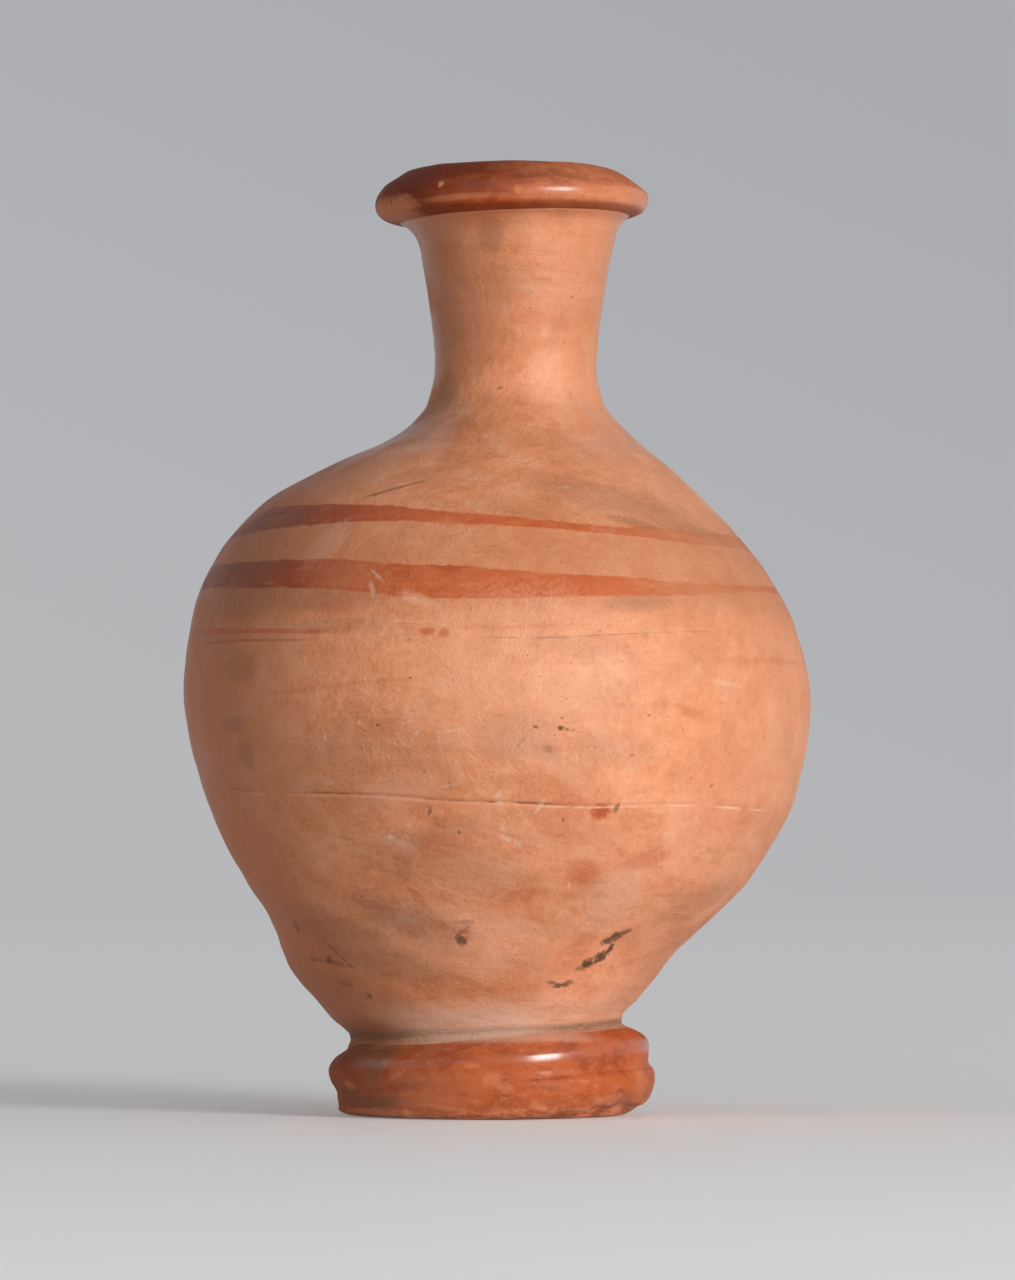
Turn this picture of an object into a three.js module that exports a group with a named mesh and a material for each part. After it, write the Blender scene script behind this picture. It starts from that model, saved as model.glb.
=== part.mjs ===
// A small terracotta unguentarium: a hand-thrown flask for perfumed oil, about 94 mm high.
// It is built as a potter builds it, from thrown sections that are luted together and then painted with red slip.
// Millimetres, +Z up. The origin is on the table, under the middle of the belly. The photographed front faces -Y.
import * as THREE from "three";

// Foot ring: two rolls, one on the other, each as high as given here and widest at its middle
const LOWER_ROLL_HEIGHT = 3.4;
const LOWER_ROLL_RADIUS = 15.5;
const UPPER_ROLL_HEIGHT = 4.6;
const UPPER_ROLL_RADIUS = 15.7;
const FOOT_REST_RADIUS = 13.4;
const FOOT_BORE_RADIUS = 10.4;
const FOOT_GROOVE_RADIUS = 15.0;
const FOOT_TOP_RADIUS = 13.3;
const FOOT_SEAT_DROP = 1.0;

// Body, heights measured from the top of the foot
const BODY_STEM_HEIGHT = 7.0;
const BODY_TRIM_HEIGHT = 14.4;
const BODY_TRIM_RADIUS = 24.5;
const BODY_SEAM_HEIGHT = 23.4;
const BODY_SEAM_RADIUS = 29.3;
const BELLY_HEIGHT = 34.0;
const BELLY_RADIUS = 31.3;
const SHOULDER_HEIGHT = 47.0;
const SHOULDER_RADIUS = 27.3;
const SHOULDER_BREAK_HEIGHT = 51.5;
const SHOULDER_BREAK_RADIUS = 23.5;
const SHOULDER_SLOPE_HEIGHT = 56.4;
const SHOULDER_SLOPE_RADIUS = 17.0;
const BODY_HEIGHT = 60.9;
const NECK_BASE_RADIUS = 10.4;

// Neck and mouth, heights measured from the top of the body, then from the top of the neck
const NECK_SWEEP_HEIGHT = 2.1;
const NECK_SWEEP_RADIUS = 8.85;
const NECK_WAIST_HEIGHT = 5.9;
const NECK_WAIST_RADIUS = 8.1;
const NECK_FLARE_HEIGHT = 15.0;
const NECK_FLARE_RADIUS = 9.15;
const NECK_HEIGHT = 21.0;
const NECK_TOP_RADIUS = 10.9;
const LIP_HEIGHT = 4.0;
const LIP_RADIUS = 13.5;
const LIP_NOSE_HEIGHT = 1.4;
const LIP_FALL = 2.2;
const LIP_CREST_RADIUS = 9.5;
const MOUTH_RADIUS = 7.3;
const MOUTH_DROP = 1.6;

// Walls, measured square to the outer surface
const FLOOR_THICKNESS = 4.5;
const BOWL_WALL = 4.2;
const BELLY_WALL = 3.4;
const NECK_WALL = 3.0;
const UNDERSIDE_BULGE = 0.7;
const SCARF = 1.2;

// Red slip, and the pale slip smoothed into the corner over the foot
const COAT = 0.2;
const LOWER_BAND_HEIGHT = 44.4;
const LOWER_BAND_WIDTH = 3.0;
const UPPER_BAND_HEIGHT = 50.1;
const UPPER_BAND_WIDTH = 1.8;
const FILLET_HEIGHT = 1.5;

// Hand throwing leaves each section a little off centre, in mm along X, and out of level, as a slope
const GROOVE_OFFSET = -0.4;
const FOOT_OFFSET = -1.3;
const TRIM_OFFSET = 0.7;
const SHOULDER_OFFSET = -0.25;
const NECK_OFFSET = 1.9;
const LIP_OFFSET = 1.4;
const FOOT_TILT = 0.085;
const SHOULDER_TILT = -0.05;
const LIP_TILT = 0.02;

const SEGMENTS = 44;
const WALL_STEP = 3.2;
const CURVE_STEPS = 5;

// Heights of the joints above the table
const FOOT_JOINT = LOWER_ROLL_HEIGHT + UPPER_ROLL_HEIGHT;
const SEAM_JOINT = FOOT_JOINT + BODY_SEAM_HEIGHT;
const NECK_JOINT = FOOT_JOINT + BODY_HEIGHT;
const LIP_JOINT = NECK_JOINT + NECK_HEIGHT;
const TOP = LIP_JOINT + LIP_HEIGHT;
const CAVITY_FLOOR = FOOT_JOINT - FOOT_SEAT_DROP - UNDERSIDE_BULGE + FLOOR_THICKNESS;

const fired_clay = new THREE.MeshStandardMaterial({ color: 0xd0906a, roughness: 0.75, metalness: 0 });
const red_slip = new THREE.MeshStandardMaterial({ color: 0xb4512c, roughness: 0.35, metalness: 0 });
const pale_slip = new THREE.MeshStandardMaterial({ color: 0xbf9880, roughness: 0.9, metalness: 0 });

// A smooth function of height through [height, value] knots that never overshoots them
function smoothThrough(knots) {
  const gaps = knots.slice(1).map(([height], i) => height - knots[i][0]);
  const slopes = knots.slice(1).map(([, value], i) => (value - knots[i][1]) / gaps[i]);
  const tangents = knots.map((_, i) => {
    if (i === 0) return slopes[0];
    if (i === slopes.length) return slopes[i - 1];
    if (slopes[i - 1] * slopes[i] <= 0) return 0;
    const before = 2 * gaps[i] + gaps[i - 1];
    const after = gaps[i] + 2 * gaps[i - 1];
    return (before + after) / (before / slopes[i - 1] + after / slopes[i]);
  });
  return (height) => {
    const last = knots.length - 1;
    if (height <= knots[0][0]) return knots[0][1];
    if (height >= knots[last][0]) return knots[last][1];
    const i = knots.findIndex(([next]) => next > height) - 1;
    const t = (height - knots[i][0]) / gaps[i];
    const u = 1 - t;
    return (
      knots[i][1] * (1 + 2 * t) * u * u +
      knots[i + 1][1] * t * t * (3 - 2 * t) +
      gaps[i] * t * u * (tangents[i] * u - tangents[i + 1] * t)
    );
  };
}

// Outer radius of the wall, from the foot to the underside of the lip
const outerRadius = smoothThrough([
  [FOOT_JOINT, FOOT_TOP_RADIUS],
  [FOOT_JOINT + BODY_TRIM_HEIGHT, BODY_TRIM_RADIUS],
  [SEAM_JOINT, BODY_SEAM_RADIUS],
  [FOOT_JOINT + BELLY_HEIGHT, BELLY_RADIUS],
  [FOOT_JOINT + SHOULDER_HEIGHT, SHOULDER_RADIUS],
  [FOOT_JOINT + SHOULDER_BREAK_HEIGHT, SHOULDER_BREAK_RADIUS],
  [FOOT_JOINT + SHOULDER_SLOPE_HEIGHT, SHOULDER_SLOPE_RADIUS],
  [NECK_JOINT, NECK_BASE_RADIUS],
  [NECK_JOINT + NECK_SWEEP_HEIGHT, NECK_SWEEP_RADIUS],
  [NECK_JOINT + NECK_WAIST_HEIGHT, NECK_WAIST_RADIUS],
  [NECK_JOINT + NECK_FLARE_HEIGHT, NECK_FLARE_RADIUS],
  [LIP_JOINT, NECK_TOP_RADIUS],
]);

const wallThickness = smoothThrough([
  [FOOT_JOINT, BOWL_WALL],
  [FOOT_JOINT + BELLY_HEIGHT, BELLY_WALL],
  [NECK_JOINT, NECK_WALL],
]);

// Inner radius, one wall thickness in, measured square to the outer surface
function innerRadius(height) {
  const nudge = 0.5;
  const slope = (outerRadius(height + nudge) - outerRadius(height - nudge)) / (2 * nudge);
  return outerRadius(height) - wallThickness(height) * Math.hypot(1, slope);
}

const offCentre = smoothThrough([
  [0, 0],
  [LOWER_ROLL_HEIGHT, GROOVE_OFFSET],
  [FOOT_JOINT, FOOT_OFFSET],
  [FOOT_JOINT + BODY_STEM_HEIGHT, FOOT_OFFSET],
  [FOOT_JOINT + BODY_TRIM_HEIGHT, TRIM_OFFSET],
  [FOOT_JOINT + BELLY_HEIGHT, 0],
  [FOOT_JOINT + SHOULDER_BREAK_HEIGHT, SHOULDER_OFFSET],
  [NECK_JOINT, NECK_OFFSET],
  [NECK_JOINT + NECK_FLARE_HEIGHT, NECK_OFFSET],
  [TOP, LIP_OFFSET],
]);

// The foot's underside stays level, and the mouldings above it lean
const outOfLevel = smoothThrough([
  [0, 0],
  [LOWER_ROLL_HEIGHT, FOOT_TILT],
  [FOOT_JOINT, FOOT_TILT],
  [FOOT_JOINT + BODY_STEM_HEIGHT, FOOT_TILT / 2],
  [FOOT_JOINT + BODY_TRIM_HEIGHT, FOOT_TILT / 2],
  [SEAM_JOINT, 0],
  [FOOT_JOINT + SHOULDER_BREAK_HEIGHT, SHOULDER_TILT],
  [NECK_JOINT, 0],
  [NECK_JOINT + NECK_FLARE_HEIGHT, 0],
  [LIP_JOINT, LIP_TILT],
  [TOP, 0],
]);

// Heights of the rings of faces on the wall: even steps, with one at each edge of a joint, band or fillet
const edges = [
  FOOT_JOINT,
  FOOT_JOINT + FILLET_HEIGHT,
  SEAM_JOINT,
  FOOT_JOINT + LOWER_BAND_HEIGHT - LOWER_BAND_WIDTH / 2,
  FOOT_JOINT + LOWER_BAND_HEIGHT + LOWER_BAND_WIDTH / 2,
  FOOT_JOINT + UPPER_BAND_HEIGHT - UPPER_BAND_WIDTH / 2,
  FOOT_JOINT + UPPER_BAND_HEIGHT + UPPER_BAND_WIDTH / 2,
  NECK_JOINT,
  LIP_JOINT,
];

function ringHeights(from, to) {
  const stops = [from, ...edges.filter((edge) => edge > from && edge < to), to];
  const heights = [from];
  for (let i = 1; i < stops.length; i += 1) {
    const steps = Math.max(2, Math.ceil((stops[i] - stops[i - 1]) / WALL_STEP));
    for (let step = 1; step <= steps; step += 1) {
      heights.push(THREE.MathUtils.lerp(stops[i - 1], stops[i], step / steps));
    }
  }
  return heights;
}

const outerWall = (from, to) => ringHeights(from, to).map((height) => new THREE.Vector2(outerRadius(height), height));

function innerWall(from, to) {
  const steps = Math.ceil((to - from) / WALL_STEP);
  return Array.from({ length: steps + 1 }, (_, i) => {
    const height = THREE.MathUtils.lerp(from, to, i / steps);
    return new THREE.Vector2(innerRadius(height), height);
  });
}

// A bend round a corner, and a moulding that passes through the given point at its middle
const bend = (from, corner, to) => new THREE.QuadraticBezierCurve(from, corner, to).getPoints(CURVE_STEPS);

function moulding(from, middle, to) {
  const chord = from.clone().add(to).divideScalar(2);
  return bend(from, middle.clone().multiplyScalar(2).sub(chord), to);
}

// A closed skin of even thickness over the outer side of an open outline
function skin(outline, thickness) {
  const raised = outline.map((point, i) => {
    const before = outline[Math.max(i - 1, 0)];
    const after = outline[Math.min(i + 1, outline.length - 1)];
    const along = after.clone().sub(before);
    return new THREE.Vector2(along.y, -along.x).setLength(thickness).add(point);
  });
  return { raised, closed: [...raised, ...outline.slice().reverse(), raised[0]] };
}

// Turns a profile round the axis. Two pieces trace a face that they share in opposite directions, so every facet
// is split along the same diagonal, whichever way its profile runs.
function turned(profile) {
  const geometry = new THREE.LatheGeometry(profile, SEGMENTS);
  const corners = [];
  for (let turn = 0; turn < SEGMENTS; turn += 1) {
    for (let row = 0; row < profile.length - 1; row += 1) {
      const climb = profile[row + 1].y - profile[row].y;
      const rises = climb > 0 || (climb === 0 && profile[row + 1].x > profile[row].x);
      const near = turn * profile.length + row;
      const far = near + profile.length;
      corners.push(near, far, rises ? near + 1 : far + 1);
      corners.push(far + 1, near + 1, rises ? far : near);
    }
  }
  geometry.setIndex(corners);
  return geometry.rotateX(Math.PI / 2);
}

// Puts a turned piece off centre and out of level, as the hand-thrown flask is
function thrown(name, profile, material) {
  const geometry = turned(profile);
  const place = geometry.getAttribute("position");
  for (let i = 0; i < place.count; i += 1) {
    const height = place.getZ(i);
    place.setZ(i, height + outOfLevel(height) * place.getX(i));
    place.setX(i, place.getX(i) + offCentre(height));
  }
  geometry.computeVertexNormals();
  const mesh = new THREE.Mesh(geometry, material);
  mesh.name = name;
  return mesh;
}

// Outline of the foot ring's outside, from the resting face up to the joint under the body
const footRest = new THREE.Vector2(FOOT_REST_RADIUS, 0);
const lowerRoll = new THREE.Vector2(LOWER_ROLL_RADIUS, LOWER_ROLL_HEIGHT / 2);
const footGroove = new THREE.Vector2(FOOT_GROOVE_RADIUS, LOWER_ROLL_HEIGHT);
const upperRoll = new THREE.Vector2(UPPER_ROLL_RADIUS, LOWER_ROLL_HEIGHT + UPPER_ROLL_HEIGHT / 2);
const footTop = new THREE.Vector2(FOOT_TOP_RADIUS, FOOT_JOINT);
const footSeat = new THREE.Vector2(FOOT_BORE_RADIUS, FOOT_JOINT - FOOT_SEAT_DROP);
const footOutline = [
  ...moulding(footRest, lowerRoll, footGroove),
  ...moulding(footGroove, upperRoll, footTop).slice(1),
];

function footRing() {
  const bore = new THREE.Vector2(FOOT_BORE_RADIUS, 0);
  return [bore, ...footOutline, footSeat, bore];
}

// Corners of the scarf joints: the outer edge is on the wall, the inner edge lies lower or higher
const seamOuter = new THREE.Vector2(outerRadius(SEAM_JOINT), SEAM_JOINT);
const seamInner = new THREE.Vector2(innerRadius(SEAM_JOINT + SCARF), SEAM_JOINT + SCARF);
const neckOuter = new THREE.Vector2(outerRadius(NECK_JOINT), NECK_JOINT);
const neckInner = new THREE.Vector2(innerRadius(NECK_JOINT - SCARF), NECK_JOINT - SCARF);
const lipOuter = new THREE.Vector2(outerRadius(LIP_JOINT), LIP_JOINT);
const lipInner = new THREE.Vector2(innerRadius(LIP_JOINT), LIP_JOINT);

function lowerBody() {
  const underside = new THREE.Vector2(0, footSeat.y - UNDERSIDE_BULGE);
  const floorCentre = new THREE.Vector2(0, CAVITY_FLOOR);
  const floorEdge = CAVITY_FLOOR + BOWL_WALL;
  const wall = innerWall(floorEdge, seamInner.y);
  const corner = new THREE.Vector2(wall[0].x - BOWL_WALL, CAVITY_FLOOR);
  const floor = bend(floorCentre, corner, wall[0]);
  return [underside, footSeat, ...outerWall(FOOT_JOINT, SEAM_JOINT), ...wall.reverse(), ...floor.reverse().slice(1)];
}

function upperBody() {
  const outside = outerWall(SEAM_JOINT, NECK_JOINT);
  return [...outside, ...innerWall(seamInner.y, neckInner.y).reverse(), seamOuter];
}

function neck() {
  const outside = outerWall(NECK_JOINT, LIP_JOINT);
  const inside = innerWall(neckInner.y, lipInner.y);
  return [...outside, ...inside.reverse(), neckOuter];
}

// Outline of the lip's outside, from the neck round the nose and over the crest into the mouth
const lipNose = new THREE.Vector2(LIP_RADIUS, LIP_JOINT + LIP_NOSE_HEIGHT);
const lipSlope = new THREE.Vector2((LIP_RADIUS + LIP_CREST_RADIUS + LIP_FALL) / 2, TOP - LIP_FALL / 2);
const lipCrest = new THREE.Vector2(LIP_CREST_RADIUS, TOP);
const lipMouth = new THREE.Vector2(MOUTH_RADIUS, TOP - MOUTH_DROP);
const lipOutline = [
  ...bend(lipOuter, new THREE.Vector2(LIP_RADIUS, LIP_JOINT), lipNose),
  ...moulding(lipNose, lipSlope, lipCrest).slice(1),
  ...bend(lipCrest, new THREE.Vector2(MOUTH_RADIUS, TOP), lipMouth).slice(1),
];

const lip = () => [...lipOutline, lipInner, lipOuter];

function band(height, width) {
  const middle = FOOT_JOINT + height;
  return skin(outerWall(middle - width / 2, middle + width / 2), COAT).closed;
}

const footCoat = skin(footOutline.slice(1, -1), COAT);

// The pale slip fills the corner between the foot's top and the wall, and meets the red slip flush
function jointFillet() {
  const corner = outerWall(FOOT_JOINT, FOOT_JOINT + FILLET_HEIGHT);
  const wallEdge = corner[corner.length - 1];
  const footEdge = footOutline[footOutline.length - 2];
  const brim = footCoat.raised[footCoat.raised.length - 1];
  const hollow = wallEdge.clone().lerp(brim, 1 / 2).lerp(footTop, 1 / 4);
  return [footEdge, brim, hollow, ...corner.slice().reverse(), footEdge];
}

const flask = new THREE.Group();
flask.name = "unguentarium";
flask.add(
  thrown("foot_ring", footRing(), fired_clay),
  thrown("lower_body", lowerBody(), fired_clay),
  thrown("upper_body", upperBody(), fired_clay),
  thrown("neck", neck(), fired_clay),
  thrown("mouth_lip", lip(), fired_clay),
  thrown("foot_joint_fillet", jointFillet(), pale_slip),
  thrown("foot_slip_coat", footCoat.closed, red_slip),
  thrown("lower_shoulder_band", band(LOWER_BAND_HEIGHT, LOWER_BAND_WIDTH), red_slip),
  thrown("upper_shoulder_band", band(UPPER_BAND_HEIGHT, UPPER_BAND_WIDTH), red_slip),
  thrown("lip_slip_coat", skin(lipOutline.slice(1), COAT).closed, red_slip),
);

export default flask;
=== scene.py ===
import math

import bmesh
import bpy
from bpy.props import FloatProperty, FloatVectorProperty, IntProperty, PointerProperty
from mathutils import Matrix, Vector, noise
from mathutils.bvhtree import BVHTree


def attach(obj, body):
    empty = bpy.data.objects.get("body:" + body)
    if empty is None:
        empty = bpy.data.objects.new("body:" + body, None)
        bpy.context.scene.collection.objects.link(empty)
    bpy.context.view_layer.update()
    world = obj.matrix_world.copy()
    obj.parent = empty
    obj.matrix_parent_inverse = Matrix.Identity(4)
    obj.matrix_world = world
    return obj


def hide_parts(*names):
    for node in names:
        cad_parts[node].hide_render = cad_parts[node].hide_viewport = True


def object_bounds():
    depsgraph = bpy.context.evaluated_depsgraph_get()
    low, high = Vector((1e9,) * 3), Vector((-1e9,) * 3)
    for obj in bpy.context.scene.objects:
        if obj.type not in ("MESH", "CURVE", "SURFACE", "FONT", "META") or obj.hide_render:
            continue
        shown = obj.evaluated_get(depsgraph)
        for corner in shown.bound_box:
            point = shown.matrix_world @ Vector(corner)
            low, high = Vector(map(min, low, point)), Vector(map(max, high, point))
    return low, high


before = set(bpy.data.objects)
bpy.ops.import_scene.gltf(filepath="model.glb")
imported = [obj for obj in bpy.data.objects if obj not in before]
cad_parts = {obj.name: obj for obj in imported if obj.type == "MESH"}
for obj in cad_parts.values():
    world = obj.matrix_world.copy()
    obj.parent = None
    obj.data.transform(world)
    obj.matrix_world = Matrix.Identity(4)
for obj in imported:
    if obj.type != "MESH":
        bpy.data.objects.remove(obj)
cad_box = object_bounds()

bl_info = {
    "name": "Terracotta unguentarium",
    "version": (1, 0, 0),
    "blender": (4, 5, 0),
    "location": "View3D > Sidebar > Unguentarium",
    "description": "Builds a hand-thrown terracotta perfume flask with painted bands of red slip",
    "category": "Object",
}

MM = 0.001

# The photograph's size, the belly's axis and the lens's level in pixels, and the lens's place in millimetres
PHOTO_WIDTH = 1015
PHOTO_HEIGHT = 1280
PHOTO_AXIS_X = 497
PHOTO_HORIZON_Y = 893.5
PIXELS_PER_MM = 10.0
EYE_HEIGHT = 22.0
EYE_DISTANCE = 583.0
SENSOR = 36.0
FOCAL_PIXELS = 5836.0
EYE_PITCH = math.atan((PHOTO_HORIZON_Y - PHOTO_HEIGHT / 2) / FOCAL_PIXELS)
EYE_SIDESTEP = (PHOTO_WIDTH / 2 - PHOTO_AXIS_X) / PIXELS_PER_MM
EYE = Vector((EYE_SIDESTEP, -EYE_DISTANCE, EYE_HEIGHT)) * MM

# The table's radius in metres, its depth below the foot in millimetres, the distance in metres at which half
# of it is plain far colour, and how fast that colour turns into the horizon's
TABLE_RADIUS = 30
TABLE_GAP = 0.02
TABLE_FADE = 0.9
TABLE_FAR_POWER = 1.5
# Slope at which the backdrop reaches its top colour, and how much nearer that comes to the right
BACKDROP_CLIMB = 0.16
BACKDROP_TILT = 2.4
# Each lamp's turn to the right and upwards in degrees, its distance, and its width and height in metres
KEY_LAMP = (41.5, 12, 0.9, (0.28, 0.42))
FILL_LAMP = (-64, 13, 0.9, (0.08, 0.12))

# Heights of the joints between the thrown sections and of the turning line, in millimetres above the table
FOOT_TOP = 8.1
SEAM = 31.4
TURNING = 48.0
LIP_JOINT = 89.5
# How far apart the wall's rings of faces are, and how far apart along its two lines, in millimetres
RING_STEP = 0.46
FINE_STEP = 0.1

# Outer radius of the wall at each height, where its curve turns, in millimetres
WALL_RADIUS = (
    (FOOT_TOP, 13.25), (9.0, 13.65), (9.7, 14.3), (10.4, 15.1), (11.4, 15.95), (13.7, 17.85), (15.0, 18.9),
    (17.0, 20.4), (19.0, 21.9), (22.4, 24.5), (26.5, 27.1), (SEAM, 29.3), (42.0, 31.3), (49.4, 30.1),
    (55.0, 27.3), (59.5, 23.5), (64.4, 17.0), (66.6, 13.3), (68.9, 10.4), (71.0, 8.8), (74.8, 8.1),
    (83.9, 9.15), (86.5, 9.65), (88.0, 10.1), (88.8, 10.6), (89.2, 11.05), (LIP_JOINT, 11.5),
)
WALL_THICKNESS = ((FOOT_TOP, 4.2), (42.0, 3.4), (68.9, 3.0))

# Outline of the foot, from the resting face up, and of the lip, from the neck round into the mouth
FOOT_OUTLINE = (
    (13.4, 0.0), (14.6, 0.15), (15.25, 0.6), (15.6, 1.4), (15.72, 2.2), (15.74, 3.1), (15.62, 3.7),
    (15.8, 4.4), (15.95, 5.2), (15.8, 6.1), (15.35, 6.75), (14.75, 7.25), (14.0, 7.75), (13.25, FOOT_TOP),
)
LIP_OUTLINE = (
    (11.5, LIP_JOINT), (12.3, 89.65), (13.1, 90.0), (13.55, 90.55), (13.72, 91.15), (13.6, 91.75),
    (13.2, 92.25), (12.5, 92.9), (11.5, 93.7), (10.6, 94.25), (9.6, 94.45), (8.5, 94.3), (7.65, 93.7),
    (7.3, 92.6), (7.4, 91.0),
)
FOOT_BORE = 10.4
FOOT_SEAT = 7.0
CAVITY_FLOOR = 10.9
# Height at which the inside of the wall begins to round into the floor, and the corner that it makes there
CAVITY_CORNER = 15.5
CORNER_OUTLINE = ((10.6, 12.6), (7.4, 11.3), (3.5, CAVITY_FLOOR), (0, CAVITY_FLOOR))
UNDERSIDE = ((0, 6.3), (5, 6.45), (FOOT_BORE, FOOT_SEAT))
JOINT_TOP = 8.9
JOINT_OUTLINE = ((14.05, 7.7), (13.6, 8.05), (13.5, 8.45))
# Faces round the foot, the lip and the joint, which are narrower than the wall
RING_SEGMENTS = 240

# How far each height of the hand-thrown flask is off centre along X, and how far out of level, as a slope
OFF_CENTRE = (
    (0.0, 0.0), (1.4, -0.15), (2.2, 0.0), (3.2, -0.15), (3.8, -0.45), (4.4, -0.75), (5.3, -0.85),
    (6.2, -0.6), (7.2, -0.3), (FOOT_TOP, -1.1), (9.5, -1.05), (12.4, -1.1), (15.0, -1.35), (17.0, -0.85),
    (19.0, -0.1), (22.4, 0.7), (28.0, 0.5), (42.0, 0.0), (55.0, -0.3), (60.0, -0.1), (64.0, 0.9),
    (66.6, 1.8), (69.0, 1.9), (84.0, 1.9), (87.5, 2.0), (88.8, 1.9), (91.0, 1.5), (94.0, 1.5),
)
OUT_OF_LEVEL = (
    (0.0, 0.0), (1.4, 0.055), (2.2, 0.08), (3.2, 0.085), (4.4, 0.065), (5.3, 0.056), (6.2, 0.05),
    (7.2, 0.055), (FOOT_TOP, 0.07), (10.4, 0.07), (13.7, 0.058), (15.0, 0.045), (19.0, 0.038), (22.0, 0.04),
    (31.0, 0.0), (42.0, -0.01), (53.0, -0.04), (60.0, -0.05), (65.0, -0.04), (70.0, 0.0), (84.0, 0.0),
    (89.0, 0.034), (90.5, 0.032), (92.0, 0.02), (94.0, 0.0),
)
NODDING = ((84.0, 0.0), (89.0, 0.02))

# Where in height the neck's ridges and the smears over the foot show, with a soft edge, in millimetres
NECK_RIDGES = (78.0, 95.0, 6.0)
LOW_SMEARS = (10.0, 26.0, 6.0)
# Where round the flask the smears, the sharp stretch of the scored line, the foot's smooth front, its worn
# edge and the lip's raised shoulder lie, with a soft edge, in radians
SMEARED_SIDE = (-2.6, 2.6, 0.3)
SCORED_FRONT = (-0.6, 0.12, 0.3)
FOOT_FRONT = (-0.7, 0.75, 0.5)
FOOT_WORN_SIDE = (0.75, 1.9, 0.7)
LIP_SHOULDER = (-2.2, -1.1, 0.4)
# How far the worn lower edge of the foot lifts off the table, in millimetres
EDGE_LIFT = 0.75
# Height and half width of the groove between the foot's rolls, and how far it is filled in front
FOOT_GROOVE = 3.7
FOOT_GROOVE_WIDTH = 0.85
FOOT_GROOVE_FILL = 0.24

# Turn about Y of the soft strokes that wiping left on the wall
STROKE_SLANT = math.radians(16)

# Slope along X of the dirt, wear and painted shade over the foot and under the lip, which aren't level
JOINT_TILT = 0.055
LIP_TILT = 0.03
# How far below the scored line the painted highlight on its lower lip lies, in pixels
SEAM_HIGHLIGHT_DROP = 2.6
# Reach of a line's faded ends, in radians
LINE_FADE = 0.1
# Foreshortening past which marks towards the flask's sides aren't stretched any further
LEAST_SHORTENING = 0.3

# Marks on the flask, at their pixels in the photograph: a band's x, upper edge and lower edge
UPPER_BAND = (
    (240, 530, 536), (266, 508, 530), (302, 505, 526), (349, 504, 522), (396, 506, 521), (443, 511, 523),
    (490, 514, 525), (528, 518, 527), (545, 520, 528), (589, 524.5, 532), (622, 528, 535), (634, 523, 536),
    (656, 528, 539), (701, 532, 545), (741, 537, 550),
)
LOWER_BAND = (
    (207, 565, 588), (231, 563, 588), (278, 560, 588), (325, 559, 589), (344, 559, 590), (372, 562, 593),
    (408, 564, 597), (467, 566, 599), (526, 571, 598), (560, 574, 597), (589, 575, 596), (634, 577, 596),
    (667, 582, 596), (712, 584, 594), (772, 587, 593),
)
# Where the bands are chipped and where they are rubbed, as in the tables of marks below
CHIPPED = ((352, 575, 40, 17, -6, 0.5), (610, 530, 20, 4, -8, 0.6), (470, 585, 50, 10, 0, 0.1))
RUBBED = ((716, 541, 34, 9, -8, 0.5), (716, 590, 44, 6, -2, 0.45), (335, 575, 26, 12, -6, 0.3))
# Lines that the wheel or a point drew, and the corner over the foot along which painted shade lies: x and y
# of each pixel
SEAM_LINE = (
    (230, 789), (264, 792), (325, 793), (396, 796), (443, 800), (528, 803), (582, 805), (630, 804),
    (686, 803), (767, 808),
)
TURNING_LINE = ((490, 637), (530, 638), (600, 635), (650, 633), (705, 631))
JOINT_LINE = ((343, 1036), (384, 1037), (430, 1033), (500, 1030), (560, 1028), (618, 1022))
# Finer lines by colour: width in millimetres, strength, then x and y of each pixel
BROWN_LINES = (
    (0.36, 0.6, (200, 632), (260, 631), (330, 631)),
    (0.2, 0.6, (200, 645), (230, 641), (262, 640), (305, 640)),
    (0.3, 0.2, (258, 695), (330, 686), (405, 679)), (0.5, 0.2, (715, 660), (760, 661), (800, 664)),
    (0.2, 0.35, (475, 627), (505, 628), (552, 625)),
)
PALE_LINES = (
    (0.14, 0.5, (384, 620), (402, 621), (424, 622)),
    (0.1, 0.25, (395, 625), (430, 628), (470, 632), (512, 636)),
    (0.09, 0.2, (330, 618), (360, 617), (400, 618)), (0.1, 0.25, (560, 632), (610, 630), (700, 627)),
)
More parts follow.
